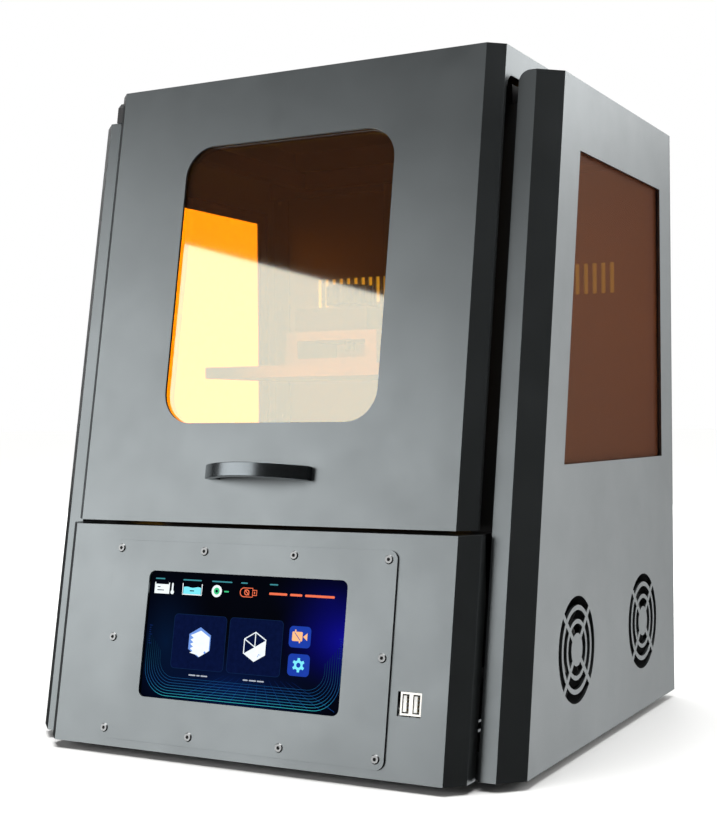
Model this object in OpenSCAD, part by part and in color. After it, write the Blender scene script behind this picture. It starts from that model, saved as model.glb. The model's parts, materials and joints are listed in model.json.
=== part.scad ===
/* [Casing] */
// Overall width across the two side casings
body_w = 400; // [390:2:420]
// Height of the side casings, feet left out
casing_h = 478; // [474:1:484]
// Depth of the casing at its bottom, front flange to back
casing_d = 364; // [360:1:372]
// Backward lean of the whole front, in degrees
lean = 10; // [9:0.5:11]
// Thickness of the sheet metal
sheet = 2; // [1.5:0.25:2.5]
// Width of the bevel on each side casing's front edge
casing_bevel = 15.5; // [12:0.5:17]
// Distance from the centre to the inner edge of the front flanges
flange_in = 171.7; // [171:0.1:173]
// Height of the rubber feet
foot_h = 6; // [4:1:10]

/* [Hood] */
// Half width of the hood's flat front
hood_half = 155; // [150:1:156]
// Width of the hood's side bevels
hood_bevel = 10.7; // [8:0.1:11]
// How far the hood's front stands ahead of the side flanges
hood_proud = 21.7; // [18:0.1:24]
// Height of the hood's lower edge above the casing bottom
hood_low = 161; // [160.5:0.1:163]
// Height of the hood's top above the casing bottom
hood_top = 496; // [492:1:500]
// Height of the hood's side band along the top
band_h = 20.5; // [16:0.5:24]
// Width of the hood window
glass_w = 178.5; // [160:0.5:190]
// Corner radius of the hood window
glass_r = 24; // [10:1:30]

/* [Lower front] */
// Half width of the lower panel's flat front
lower_half = 157.7; // [150:0.1:158]
// Width of the lower panel's side bevels
lower_bevel = 11.8; // [8:0.1:12]
// How far the lower panel stands ahead of the side flanges
lower_proud = 23.6; // [20:0.1:26]
// Height of the lower panel's top edge
lower_top = 158; // [156:0.5:159]
// Width of the screen opening
screen_w = 164.5; // [160:0.5:166]
// Height of the screen opening, along the slope
screen_h = 90.3; // [88:0.1:92]

/* [Cooling] */
// Radius of the fan grilles
grille_r = 38; // [36:0.5:38]
// Height of the fan centres
fan_z = 70.8; // [66:0.1:74]
// Number of blades on a fan
blades = 7; // [5:1:9]

/* [Vertical axis] */
// Radius of the lead screw
screw_r = 6; // [5:0.5:6]
// Height of the platform's underside at rest
platform_z = 268; // [200:1:280]

/* [Hidden] */

$fn = 64;
half_w = body_w / 2;
front_reach = 24.28;
screw_head = 1;
flange_y = -(casing_d + screw_head - front_reach) / 2;
slope = tan(lean);
stretch = 1 / cos(lean);
graphite = [0.33, 0.35, 0.36];
black_paint = [0.06, 0.06, 0.065];
steel = [0.72, 0.73, 0.74];
amber = [0.55, 0.24, 0.06, 0.6];

// Window and grille places, from the front flange plane at the casing bottom
win_front = 54.7;
win_back = 331;
win_low = 202.4;
win_top = 427;
gasket_t = 1.5;
acrylic_t = 3;
fan_y = [113.7, 272.7];
fan_size = 80;
fan_t = 25;

// Hood window and bezel places
glass_low = 233.6;
glass_top = 444.4;
bezel_x = -1.5;
bezel_w = 234;
bezel_low = 6.1;
bezel_top = 147.3;
bezel_t = 1.5;
bezel_screw_x = [-110.7, -37.2, 37.2, 110.7];
bezel_screw_z = [12.9, 77.2, 141.3];
screen_x = -2.75;
screen_low = 37.2;
screen_depth = 5;
usb_x = 130.5;
usb_low = 41.6;
usb_w = 17.2;
usb_h = 15.8;

// Inner structure
deck_z = 158;
deck_t = 4;
vat_y = 150;
rail_in = 150;
rail_out = 162;
hinge_y = 352;
hinge_z = 484.5;
hinge_x = [-110, 110];
column_y = 300;
screw_y = 302;
rail_x = 28;
run_gap = 0.05;
rocker_x = 164.5;
rocker_y = casing_d - 7;
rocker_tilt = 6;
inlet_z = 50;
mask_w = 212;
mask_d = 138;
mask_top = deck_z + 5;
vat_top = 193;
vat_screw_x = 133;
rear_screws = concat(
    [for (x = [-191, 191], z = [30, 135, 240, 345, 450]) [x, z]],
    [for (x = [-95, 0, 95], z = [10, 466]) [x, z]]);

// The leaning front plane's depth at a height
function front(z) = z * slope;

// Everything below is placed from the front flange plane and the casing bottom
module placed() translate([0, flange_y, foot_h]) children();

// Frame whose Z runs up the slope and whose Y is square to it
module on_slope(n = 0) translate([0, n, 0]) rotate([-lean, 0, 0]) children();

// Layer between two heights
module layer(z0, z1) translate([-500, -500, z0]) cube([1000, 1500, z1 - z0]);

// Extrusion along X of an outline drawn in Y and Z
module along_x(x0, t) translate([x0, 0, 0]) rotate([90, 0, 90]) linear_extrude(t) children();

// Extrusion through the sloping plane of an outline drawn in X and slope height
module through(n, t) on_slope(n) rotate([90, 0, 0]) translate([0, 0, -t]) linear_extrude(t) children();

// Box from its low and high corners
module box(a, b) translate(a) cube(b - a);

// Rounded rectangle centred on its middle
module rounded(w, h, r) {
    square([w - 2 * r, h], center = true);
    square([w, h - 2 * r], center = true);
    for (sx = [-1, 1], sy = [-1, 1])
        translate([sx * (w / 2 - r), sy * (h / 2 - r)]) circle(r);
}

// Three broken rings of slots
module grille_outline() {
    ring_step = grille_r / 38;
    difference() {
        for (pair = [[38, 31.5], [28, 21.6], [18.4, 11.7]])
            difference() {
                circle(pair[0] * ring_step);
                circle(pair[1] * ring_step);
            }
        for (a = [45, 135])
            rotate(a) square([2 * grille_r + 4, 4], center = true);
    }
}

// Side window outline in Y and Z, grown by a margin
module window_outline(m = 0) polygon([
    [win_front + front(win_low - m) - m, win_low - m],
    [win_front + front(win_top + m) - m, win_top + m],
    [win_back + m, win_top + m],
    [win_back + m, win_low - m]]);

// Solid block with a leaning front and bevelled sides, its wall thickness taken off all round
module leaning_block(half, bevel, proud, inset) {
    b = bevel / stretch;
    w = half + bevel - inset;
    on_slope(-proud) translate([0, 0, -100]) linear_extrude(1000) polygon([
        [-half + 0.4 * inset, inset], [half - 0.4 * inset, inset], [w, b + 0.4 * inset], [w, 600],
        [-w, 600], [-w, b + 0.4 * inset]]);
}

// Folded cover: a leaning block between two heights, open at the back
module leaning_cover(half, bevel, proud, low, top) {
    difference() {
        intersection() {
            leaning_block(half, bevel, proud, 0);
            layer(low, top);
        }
        intersection() {
            leaning_block(half, bevel, proud, sheet);
            layer(low + sheet, top - sheet);
        }
    }
}

// Plan of a bevelled plate whose front edge lies at a given depth
module bevelled_plan(half, bevel, y0, y1) polygon([
    [-half, y0], [half, y0], [half + bevel, y0 + bevel], [half + bevel, y1],
    [-half - bevel, y1], [-half - bevel, y0 + bevel]]);

// Round button head with a socket, along +Z
module button_screw(r, head, shank_r, shank) {
    difference() {
        union() {
            cylinder(h = head, r1 = r, r2 = r * 0.8);
            translate([0, 0, -shank]) cylinder(h = shank, r = shank_r);
        }
        translate([0, 0, head * 0.35]) cylinder(h = head, r = r * 0.42, $fn = 6);
    }
}

module base_tray() color(graphite) placed() {
    outer = half_w - sheet - 0.2;
    back = casing_d - 4.5;
    corner = 17;
    difference() {
        linear_extrude(18) bevelled_plan(outer - corner, corner, 6, back);
        translate([0, 0, sheet]) linear_extrude(18)
            bevelled_plan(outer - corner - 0.8, corner - 1.2, 6 + sheet, back - sheet);
        for (x = [-130 : 13 : 130])
            box([x - 2.5, 110, -1], [x + 2.5, 190, sheet + 1]);
        rear_screw_holes();
    }
}

module feet() color([0.05, 0.05, 0.05]) placed()
    for (x = [-160, 160], y = [38, 330])
        translate([x, y, -foot_h]) difference() {
            cylinder(h = foot_h, r1 = 11, r2 = 12.5);
            translate([0, 0, -1]) cylinder(h = 4, r = 4);
        }

// Right side casing: side with window and grilles, front bevel and flange, top and rear flanges
module side_casing() placed() {
    back = casing_d - sheet - 0.2;
    b = casing_bevel;
    cut = 8;
    along_x(half_w - sheet, sheet) difference() {
        polygon([[b, 0], [b + front(casing_h), casing_h], [back, casing_h], [back, 0]]);
        window_outline();
        for (y = fan_y)
            translate([y, fan_z]) grille_outline();
    }
    intersection() {
        on_slope() difference() {
            translate([0, 0, -20]) linear_extrude(casing_h * stretch + 60) polygon([
                [half_w, b / stretch], [half_w - b, 0], [flange_in, 0], [flange_in, sheet],
                [half_w - b - 0.4 * sheet, sheet], [half_w - sheet, b / stretch + 0.4 * sheet],
                [half_w - sheet, b / stretch + 3], [half_w, b / stretch + 3]]);
            translate([flange_in, -1, casing_h * stretch - cut]) difference() {
                translate([-1, 0, 0]) cube([cut + 1, sheet + 2, cut + 20]);
                translate([cut, -1, 0]) rotate([-90, 0, 0]) cylinder(h = sheet + 4, r = cut);
                translate([cut, -1, -20]) cube([cut, sheet + 4, 60]);
            }
        }
        layer(0, casing_h);
    }
    translate([0, 0, casing_h - sheet]) linear_extrude(sheet) difference() {
        polygon([
            [flange_in + cut, front(casing_h) + 0.5], [half_w - b, front(casing_h) + 0.5],
            [half_w - 0.5, front(casing_h) + b], [half_w - 0.5, back], [flange_in, back],
            [flange_in, front(casing_h) + cut]]);
    }
    difference() {
        box([half_w - 18, back - sheet, 20], [half_w - 1, back, casing_h - 1]);
        rear_screw_holes();
    }
}

module right_side_casing() color(graphite) side_casing();
module left_side_casing() color(graphite) mirror([1, 0, 0]) side_casing();

module rear_panel() color(graphite) placed()
    difference() {
        box([-half_w, casing_d - sheet, 0], [half_w, casing_d, casing_h]);
        for (side = [-1, 1], i = [0 : 11])
            box([side * (60 + 8 * i) - 2, casing_d - 5, 345], [side * (60 + 8 * i) + 2, casing_d + 1, 372]);
        for (i = [0 : 7])
            box([-165, casing_d - 5, 40 + 9 * i], [-75, casing_d + 1, 44 + 9 * i]);
        box([126.5, casing_d - 5, 36], [173.5, casing_d + 1, 64]);
        rear_screw_holes();
    }

module rear_screw_holes()
    for (p = rear_screws)
        translate([p[0], casing_d + 1, p[1]]) rotate([90, 0, 0]) cylinder(h = 12, r = 1.9);

module casing_screws() color(steel) placed()
    for (p = rear_screws)
        translate([p[0], casing_d, p[1]]) rotate([-90, 0, 0]) button_screw(3.4, screw_head, 1.8, 5.5);

module lower_front_panel() color(graphite) placed()
    difference() {
        leaning_cover(lower_half, lower_bevel, lower_proud, 0, lower_top);
        box([-300, 22, -50], [300, 900, 300]);
        intersection() {
            on_slope(1.4) translate([-300, 0, -100]) cube([600, 600, 600]);
            layer(-10, lower_top - sheet);
        }
        through(-lower_proud - 2, 9) translate([screen_x, (screen_low * stretch + screen_h / 2)])
            square([screen_w + 4, screen_h + 4], center = true);
        through(-lower_proud - 2, 9) translate([usb_x, usb_low * stretch + usb_h / 2])
            square([usb_w, usb_h], center = true);
        for (p = bezel_places())
            through(-lower_proud - 2, 9) translate(p) circle(1.9);
    }

// Screw places round the bezel, in X and slope height
function bezel_places() = concat(
    [for (x = bezel_screw_x, z = [bezel_screw_z[0], bezel_screw_z[2]]) [bezel_x + x, z * stretch]],
    [for (x = [bezel_screw_x[0], bezel_screw_x[3]]) [bezel_x + x, bezel_screw_z[1] * stretch]]);

module screen_bezel() color(graphite) placed()
    through(-lower_proud - bezel_t * stretch, bezel_t) difference() {
        translate([bezel_x, (bezel_low + bezel_top) / 2 * stretch])
            rounded(bezel_w, (bezel_top - bezel_low) * stretch, 6);
        translate([screen_x, screen_low * stretch + screen_h / 2]) rounded(screen_w, screen_h, 5);
        for (p = bezel_places())
            translate(p) circle(1.9);
    }

module bezel_screws() color(steel) placed()
    for (p = bezel_places())
        on_slope(-lower_proud - bezel_t * stretch) translate([p[0], 0, p[1]]) rotate([90, 0, 0])
            button_screw(3.2, screw_head, 1.8, 5);

module touch_glass() color([0.02, 0.02, 0.03]) placed()
    through(-lower_proud - bezel_t * stretch + screen_depth, 1.2)
        translate([screen_x, screen_low * stretch + screen_h / 2]) rounded(screen_w + 12, screen_h + 12, 3);

module display_module() color([0.5, 0.5, 0.5]) placed()
    through(-lower_proud - bezel_t * stretch + screen_depth + 1.2 * stretch, 7)
        translate([screen_x, screen_low * stretch + screen_h / 2])
            square([screen_w + 4, screen_h + 10], center = true);

module usb_port() color(steel) placed()
    on_slope(-lower_proud) translate([usb_x, 0, usb_low * stretch + usb_h / 2]) difference() {
        translate([-usb_w / 2 + 1.6, 1, -usb_h / 2 + 0.4]) cube([usb_w - 1.8, 17, usb_h - 0.8]);
        for (x = [-3.2, 4.6])
            translate([x - 2.5, 0, -6.2]) cube([5, 13, 12.4]);
    }

module deck_plate() color([0.15, 0.15, 0.16]) placed()
    difference() {
        box([-half_w + sheet + 0.3, 22.5, deck_z - deck_t], [half_w - sheet - 0.3, casing_d - 5, deck_z]);
        box([-mask_w / 2 - 0.5, vat_y - mask_d / 2 - 0.5, 0],
            [mask_w / 2 + 0.5, vat_y + mask_d / 2 + 0.5, 200]);
        for (s = [0, 1])
            mirror([s, 0, 0])
                box([flange_in - 3, 0, 100], [half_w, front(deck_z) + casing_bevel + sheet + 2, 200]);
        translate([0, screw_y, 140]) cylinder(h = 30, r = 14);
        for (x = [-vat_screw_x, vat_screw_x])
            translate([x, vat_y, 140]) cylinder(h = 30, r = 2.5 + run_gap);
    }

module side_window() placed() along_x(half_w - sheet - gasket_t - acrylic_t, acrylic_t) window_outline(9);
module right_window() color(amber) side_window();
module left_window() color(amber) mirror([1, 0, 0]) side_window();

module window_gasket() placed() along_x(half_w - sheet - gasket_t, gasket_t) difference() {
    window_outline(9);
    window_outline(1);
}
module right_window_gasket() color(black_paint) window_gasket();
module left_window_gasket() color(black_paint) mirror([1, 0, 0]) window_gasket();

// Black upright behind the hood's edge, folded inwards
module jamb() placed()
    intersection() {
        on_slope(14) linear_extrude(600) polygon([
            [rail_in, 0], [half_w - 5, 0], [half_w - 5, sheet], [rail_in + sheet, sheet],
            [rail_in + sheet, 22], [rail_in, 22]]);
        layer(deck_z + 0.1, 457.8);
    }
module right_jamb() color(black_paint) jamb();
module left_jamb() color(black_paint) mirror([1, 0, 0]) jamb();

module top_frame() color(black_paint) placed()
    difference() {
        union() {
            for (s = [0, 1])
                mirror([s, 0, 0]) box([rail_in, front(458) + 14, 458], [rail_out, 351, 472]);
            box([-rail_out, 339, 458], [rail_out, 351, 472]);
            box([-half_w + 3, 350.9, 452], [half_w - 3, 359, 475.8]);
            box([-flange_in + 1, 350.9, 475.7], [flange_in - 1, 359, 478]);
        }
        rear_screw_holes();
    }

module hood_sensor() color(black_paint) placed()
    box([-171.5, front(465) + 3, 456], [-166.5, front(457) + 14, 472]);

// One hinge's knuckles along X
module knuckle(x0, x1) translate([x0, hinge_y, hinge_z]) rotate([0, 90, 0]) cylinder(h = x1 - x0, r = 4);
module hinge_bore(x) translate([x - 40, hinge_y, hinge_z]) rotate([0, 90, 0])
    cylinder(h = 80, r = 2 + run_gap);

module hinge_fixed_leaves() color(steel) placed()
    for (x = hinge_x)
        difference() {
            union() {
                box([x - 26, hinge_y - 1, 478.05], [x + 26, 358.8, 480]);
                for (s = [-1, 1])
                    knuckle(x + s * 18 - 8, x + s * 18 + 8);
                for (s = [-1, 1])
                    box([x + s * 18 - 8, hinge_y + 0.5, 479], [x + s * 18 + 8, hinge_y + 4, hinge_z]);
            }
            hinge_bore(x);
            box([x - 10, hinge_y - 5, 478], [x + 10, hinge_y + 4.4, 490]);
        }

module hinge_moving_leaves() color(steel) placed()
    for (x = hinge_x)
        difference() {
            union() {
                box([x - 26, 346.05, 481], [x + 26, 347.6, 493]);
                knuckle(x - 9.6, x + 9.6);
                box([x - 9.6, 346.05, hinge_z - 2], [x + 9.6, hinge_y, hinge_z + 4]);
            }
            hinge_bore(x);
        }

module hinge_pins() color(steel) placed()
    for (x = hinge_x)
        translate([x - 28, hinge_y, hinge_z]) rotate([0, 90, 0]) {
            cylinder(h = 56, r = 2);
            translate([0, 0, -1]) cylinder(h = 1.8, r = 2.9);
            translate([0, 0, 55.2]) cylinder(h = 1.8, r = 2.9);
        }

module z_column() color([0.62, 0.63, 0.64]) placed() {
    translate([0, 0, deck_z + 0.05]) linear_extrude(290) difference() {
        translate([-45, column_y]) square([90, 26]);
        translate([-16, column_y - 1]) square([32, 19]);
        for (s = [-1, 1]) {
            translate([s * 46 - 5, column_y + 10]) square([10, 6]);
            translate([s * 30 - 4, column_y + 20]) square([8, 8]);
        }
    }
    box([-60, column_y + 1, deck_z + 0.05], [-44, column_y + 26, deck_z + 14]);
    box([44, column_y + 1, deck_z + 0.05], [60, column_y + 26, deck_z + 14]);
}

module linear_rails() color(steel) placed()
    for (s = [-1, 1])
        difference() {
            translate([s * rail_x, 0, deck_z + 15]) linear_extrude(265) difference() {
                translate([-6, column_y - 8]) square([12, 8]);
                for (t = [-1, 1])
                    translate([t * 6.4, column_y - 4]) circle(1.4);
            }
            for (z = [190 : 25 : 430])
                translate([s * rail_x, column_y + 1, z]) rotate([90, 0, 0]) {
                    cylinder(h = 12, r = 1.8);
                    translate([0, 0, 4.5]) cylinder(h = 8, r = 3);
                }
        }

// Bearing block that holds the lead screw inside the column's channel
module bearing(z0, h) placed()
    difference() {
        box([-15.8, column_y - 12, z0], [15.8, column_y + 17.8, z0 + h]);
        translate([0, screw_y, z0 - 1]) cylinder(h = h + 2, r = screw_r + run_gap);
    }
module screw_top_bearing() color(black_paint) bearing(428, 18);
module screw_bottom_bearing() color(black_paint) bearing(161, 18);

module z_motor() color([0.1, 0.1, 0.1]) placed() {
    difference() {
        box([-21, screw_y - 21, 62], [21, screw_y + 21, 102]);
        for (sx = [-1, 1], sy = [-1, 1])
            translate([sx * 21, screw_y + sy * 21, 82]) rotate([0, 0, 45]) cube([7, 7, 50], center = true);
    }
    translate([0, screw_y, 102]) cylinder(h = 2, r = 11);
    translate([0, screw_y, 104]) cylinder(h = 16, r = 2.5);
}

module motor_bracket() color(steel) placed()
    difference() {
        union() {
            box([-34, screw_y - 24, 102.05], [34, screw_y + 24, 105]);
            for (s = [-1, 1])
                mirror([s < 0 ? 1 : 0, 0, 0]) {
                    box([31, screw_y - 24, 102.05], [34, screw_y + 24, deck_z - deck_t]);
                    box([31, screw_y - 24, 151], [44, screw_y + 24, deck_z - deck_t]);
                }
        }
        translate([0, screw_y, 100]) cylinder(h = 10, r = 11.2);
    }

module mask_screen() color([0.03, 0.03, 0.035]) placed()
    box([-mask_w / 2, vat_y - mask_d / 2, deck_z - 3], [mask_w / 2, vat_y + mask_d / 2, mask_top]);

module lamp_housing() color(black_paint) placed()
    difference() {
        box([-112, vat_y - 76, 46], [112, vat_y + 76, deck_z - deck_t - 0.05]);
        box([-110, vat_y - 74, 45], [110, vat_y + 74, 200]);
    }

module lamp_board() color([0.8, 0.8, 0.75]) placed()
    box([-105, vat_y - 70, 60], [105, vat_y + 70, 62]);

module lamp_lenses() color([0.9, 0.9, 0.95]) placed()
    for (i = [-3.5 : 3.5], j = [-2 : 2])
        translate([i * 24, vat_y + j * 24, 62.02]) {
            cylinder(h = 3, r = 8);
            translate([0, 0, 3]) cylinder(h = 3, r1 = 8, r2 = 5);
        }

module lamp_heatsink() color(steel) placed() {
    box([-100, vat_y - 66, 54], [100, vat_y + 66, 59.9]);
    for (x = [-98 : 10 : 98])
        box([x - 1, vat_y - 66, 24], [x + 1, vat_y + 66, 55]);
}

// Fan frame against the right side's inner face
module fan_frame(y) placed() translate([half_w - sheet - 0.2, y, fan_z]) rotate([0, -90, 0]) difference() {
    linear_extrude(fan_t) difference() {
        rounded(fan_size, fan_size, 4);
        circle(grille_r);
        for (sx = [-1, 1], sy = [-1, 1])
            translate([sx * 35.75, sy * 35.75]) circle(2.2);
    }
    translate([0, 0, 5]) difference() {
        translate([-50, -50, 0]) cube([100, 100, fan_t - 10]);
        cylinder(h = fan_t, r = grille_r + 1.5);
    }
}
module fan_spider(y) placed() translate([half_w - sheet - 0.2, y, fan_z]) rotate([0, -90, 0])
    translate([0, 0, fan_t - 3]) {
        cylinder(h = 3, r = 16);
        translate([0, 0, -14]) cylinder(h = 16, r = 2);
        for (a = [0, 90, 180, 270])
            rotate([0, 0, a + 20]) translate([10, -1.5, 0]) cube([grille_r - 8, 3, 3]);
    }
module front_fan_frame() color(black_paint) { fan_frame(fan_y[0]); fan_spider(fan_y[0]); }
module rear_fan_frame() color(black_paint) { fan_frame(fan_y[1]); fan_spider(fan_y[1]); }

module fan_rotor(y) placed() translate([half_w - sheet - 0.2, y, fan_z]) rotate([0, -90, 0]) difference() {
    union() {
        translate([0, 0, 4]) cylinder(h = 17, r = 17);
        for (i = [0 : blades - 1])
            rotate([0, 0, i * 360 / blades]) intersection() {
                translate([15, 0, 12.5]) rotate([38, 0, 0]) translate([0, -13, -0.8])
                    cube([grille_r - 16.5, 26, 1.6]);
                translate([0, 0, 4]) cylinder(h = 17, r = grille_r - 1.5);
            }
    }
    translate([0, 0, 7]) cylinder(h = 30, r = 2 + run_gap);
    translate([0, 0, 20.5]) cylinder(h = 30, r = 15);
}
module front_fan_rotor() color(black_paint) fan_rotor(fan_y[0]);
module rear_fan_rotor() color(black_paint) fan_rotor(fan_y[1]);

module power_supply() color(steel) placed()
    difference() {
        box([-185, 238, 2.1], [-85, 352, 52]);
        for (y = [246 : 7 : 340])
            box([-175, y, 40], [-95, y + 3, 60]);
        box([-184, 236, 20], [-86, 245, 60]);
    }

module mainboard() color([0.05, 0.25, 0.12]) placed() {
    box([40, 240, 10], [150, 330, 11.6]);
    for (x = [46, 144], y = [246, 324])
        translate([x, y, 2.05]) cylinder(h = 8, r = 3);
    box([80, 270, 11.5], [110, 300, 16]);
    box([50, 312, 11.5], [100, 328, 22]);
    box([120, 246, 11.5], [145, 262, 18]);
}

// Inlet with its socket, and the well in which the rocker turns
module power_inlet() color(black_paint) placed()
    difference() {
        union() {
            box([122, casing_d + 0.02, 32], [178, casing_d + screw_head, 68]);
            box([127, casing_d - 32, 36.5], [173, casing_d + 0.5, 63.5]);
        }
        box([130, casing_d - 18, 39], [154, casing_d + 3, 61]);
        box([rocker_x - 6.5, casing_d - 14, 38.7], [rocker_x + 6.5, casing_d + 3, 61.3]);
        translate([rocker_x, rocker_y, inlet_z]) rotate([0, 90, 0])
            cylinder(h = 15.6, r = 1.55, center = true);
    }

// Rocker lying against its stop, with its pivot pins
module power_rocker() color([0.6, 0.1, 0.08]) placed() translate([rocker_x, rocker_y, inlet_z])
    rotate([rocker_tilt, 0, 0]) {
        along_x(-6.1, 12.2) difference() {
            polygon([[-5, -5], [-5, 5], [4.6, 10.3], [6.4, 10.3], [4.4, 0], [6.4, -10.3], [4.6, -10.3]]);
        }
        rotate([0, 90, 0]) cylinder(h = 15, r = 1.5, center = true);
    }

// The hood: leaning front, top, and side bands that end in a rounded inner corner at the front
module hood_shell() color(graphite) placed() {
    lip = 4;
    corner = 9;
    low = hood_top - band_h;
    edge = hood_bevel + lip - hood_proud;
    side = hood_half + hood_bevel;
    box([-side + 0.7, 344.2, low + 0.3], [side - 0.7, 345.95, hood_top - 0.7]);
    difference() {
        leaning_cover(hood_half, hood_bevel, hood_proud, hood_low, hood_top);
        box([-300, 346, -50], [300, 900, 900]);
        box([-side + sheet, 300, hood_low], [side - sheet, 344, hood_top - sheet]);
        along_x(-300, 600) difference() {
            polygon([[edge + front(50), 50], [900, 50], [900, low], [edge + front(low), low]]);
            difference() {
                translate([edge + front(low) - 5, low - corner]) square([corner + 5, corner + 1]);
                translate([edge + front(low) + corner, low - corner]) circle(corner);
            }
        }
        through(-hood_proud - 2, 9) translate([0, (glass_low + glass_top) / 2 * stretch])
            rounded(glass_w, (glass_top - glass_low) * stretch, glass_r);
        for (x = [-36, 36])
            through(-hood_proud - 2, 9) translate([x, 197 * stretch]) circle(2.2);
    }
}

module hood_window() color(amber) placed()
    through(-hood_proud + (sheet + 1) * stretch, acrylic_t)
        translate([0, (glass_low + glass_top) / 2 * stretch])
            rounded(glass_w + 20, (glass_top - glass_low) * stretch + 20, glass_r + 4);

module hood_gasket() color(black_paint) placed()
    through(-hood_proud + (sheet + 0.05) * stretch, 0.9) translate([0, (glass_low + glass_top) / 2 * stretch])
        difference() {
            rounded(glass_w + 20, (glass_top - glass_low) * stretch + 20, glass_r + 4);
            rounded(glass_w + 2, (glass_top - glass_low) * stretch + 2, glass_r + 1);
        }

// Bow handle: a flat bar bent outwards, with a foot at each end
module hood_handle() color([0.1, 0.11, 0.12]) placed()
    on_slope(-hood_proud) translate([0, 0, 197 * stretch - 5]) {
        bow = 58.5;
        sag = 34;
        linear_extrude(10) {
            intersection() {
                difference() {
                    translate([0, sag]) circle(bow, $fn = 128);
                    translate([0, sag + 5]) circle(bow - 1.5, $fn = 128);
                }
                translate([-43, -40]) square([86, 39.95]);
            }
            for (s = [-1, 1])
                translate([s * 38 - 5, -6]) square([10, 5.95]);
        }
        for (s = [-1, 1])
            translate([s * 36, -2, 5]) rotate([-90, 0, 0]) cylinder(h = 7, r = 2);
    }

module hood_magnet() color(black_paint) placed()
    along_x(-171.2, 5.4) polygon([
        [front(475) - 10, 475.5], [front(475) + 14, 475.5], [front(475) + 14, 492], [front(475) - 4, 492],
        [front(475) - 8, 488]]);

module z_carriage() color([0.55, 0.56, 0.58]) placed()
    difference() {
        union() {
            box([-46, 279, 288], [46, 287, 340]);
            box([-10, 286.9, 300], [10, 297, 326]);
        }
        translate([0, screw_y, 280]) cylinder(h = 70, r = 11.1);
        for (x = [-rail_x - 9, -rail_x + 9, rail_x - 9, rail_x + 9], z = [302, 326])
            translate([x, 278, z]) rotate([-90, 0, 0]) cylinder(h = 12, r = 1.7);
    }

module carriage_blocks() color(steel) placed()
    for (s = [-1, 1])
        translate([s * rail_x, 0, 296]) linear_extrude(36) difference() {
            translate([-13.5, 287.05]) square([27, 10.5]);
            translate([-6.1, column_y - 8.1]) square([12.2, 10]);
        }

module screw_nut() color([0.75, 0.65, 0.3]) placed()
    difference() {
        union() {
            translate([0, screw_y, 299]) cylinder(h = 30, r = 11);
            translate([0, screw_y, 294]) cylinder(h = 5.9, r = 13.5);
        }
        translate([0, screw_y, 290]) cylinder(h = 50, r = screw_r + run_gap);
    }

module platform_arm() color([0.13, 0.13, 0.14]) placed()
    difference() {
        union() {
            along_x(-32, 64) polygon([
                [278.95, 292], [278.95, 336], [262, 336], [250, 322], [118, 322], [118, 304], [240, 304],
                [256, 292]]);
        }
        along_x(-20, 40) polygon([[252, 309], [265, 309], [265, 300], [252, 300]]);
        translate([0, vat_y, 300]) cylinder(h = 30, r = 4 + run_gap);
    }

module build_platform() color([0.7, 0.71, 0.72]) placed() {
    box([-97, vat_y - 62, platform_z], [97, vat_y + 62, platform_z + 9]);
    difference() {
        box([-40, vat_y - 32, platform_z + 8.9], [40, vat_y + 32, 303.95]);
        box([-30, vat_y - 40, platform_z + 15], [30, vat_y + 40, 297]);
        translate([0, vat_y, 296]) cylinder(h = 10, r = 4 + run_gap);
    }
}

module platform_knob() color(black_paint) placed() translate([0, vat_y, 0]) {
    translate([0, 0, 290]) cylinder(h = 33, r = 4);
    translate([0, 0, 322.3]) cylinder(h = 4, r = 9);
    difference() {
        translate([0, 0, 326.2]) cylinder(h = 15, r = 19);
        for (i = [0 : 11])
            rotate([0, 0, i * 30]) translate([20.5, 0, 325]) cylinder(h = 18, r = 3.2);
    }
}

// Grooved lead screw with plain journals
module lead_screw() color(steel) placed() translate([0, screw_y, 0])
    difference() {
        rotate_extrude() polygon(concat(
            [[0, 446], [0, 126], [screw_r - 1, 126], [screw_r - 1, 158], [screw_r, 160], [screw_r, 181]],
            [for (i = [0 : 60]) for (p = [[screw_r, 182 + 4 * i], [screw_r - 0.8, 183 + 4 * i],
                [screw_r - 0.8, 184 + 4 * i], [screw_r, 185 + 4 * i]]) p],
            [[screw_r, 445], [screw_r - 1, 446]]));
    }

module screw_coupler() color([0.5, 0.5, 0.55]) placed() translate([0, screw_y, 0])
    difference() {
        translate([0, 0, 106]) cylinder(h = 44, r = 9.5);
        translate([0, 0, 105]) cylinder(h = 20.5, r = 2.5 + run_gap);
        translate([0, 0, 125.95]) cylinder(h = 30, r = screw_r - 1);
        for (z = [114 : 6 : 142])
            difference() {
                translate([0, 0, z]) cylinder(h = 1, r = 12);
                translate([0, 0, z - 1]) cylinder(h = 3, r = 8);
            }
    }

module resin_vat() color([0.2, 0.21, 0.23]) placed()
    difference() {
        union() {
            translate([0, vat_y, mask_top + 0.35]) linear_extrude(vat_top - mask_top - 0.35)
                rounded(250, 176, 10);
            box([-144, vat_y - 16, mask_top + 0.35], [144, vat_y + 16, mask_top + 6]);
        }
        translate([0, vat_y, 100]) linear_extrude(200) rounded(216, 142, 8);
        for (s = [-1, 1])
            translate([s * vat_screw_x, vat_y, 100]) cylinder(h = 100, r = 2.5 + run_gap);
        for (s = [-1, 1])
            translate([s * 136, vat_y, mask_top + 6.05]) cylinder(h = 40, r = 14);
    }

module vat_film() color([0.8, 0.8, 0.85, 0.4]) placed()
    translate([0, vat_y, mask_top + 0.05]) linear_extrude(0.25) rounded(236, 162, 8);

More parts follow.
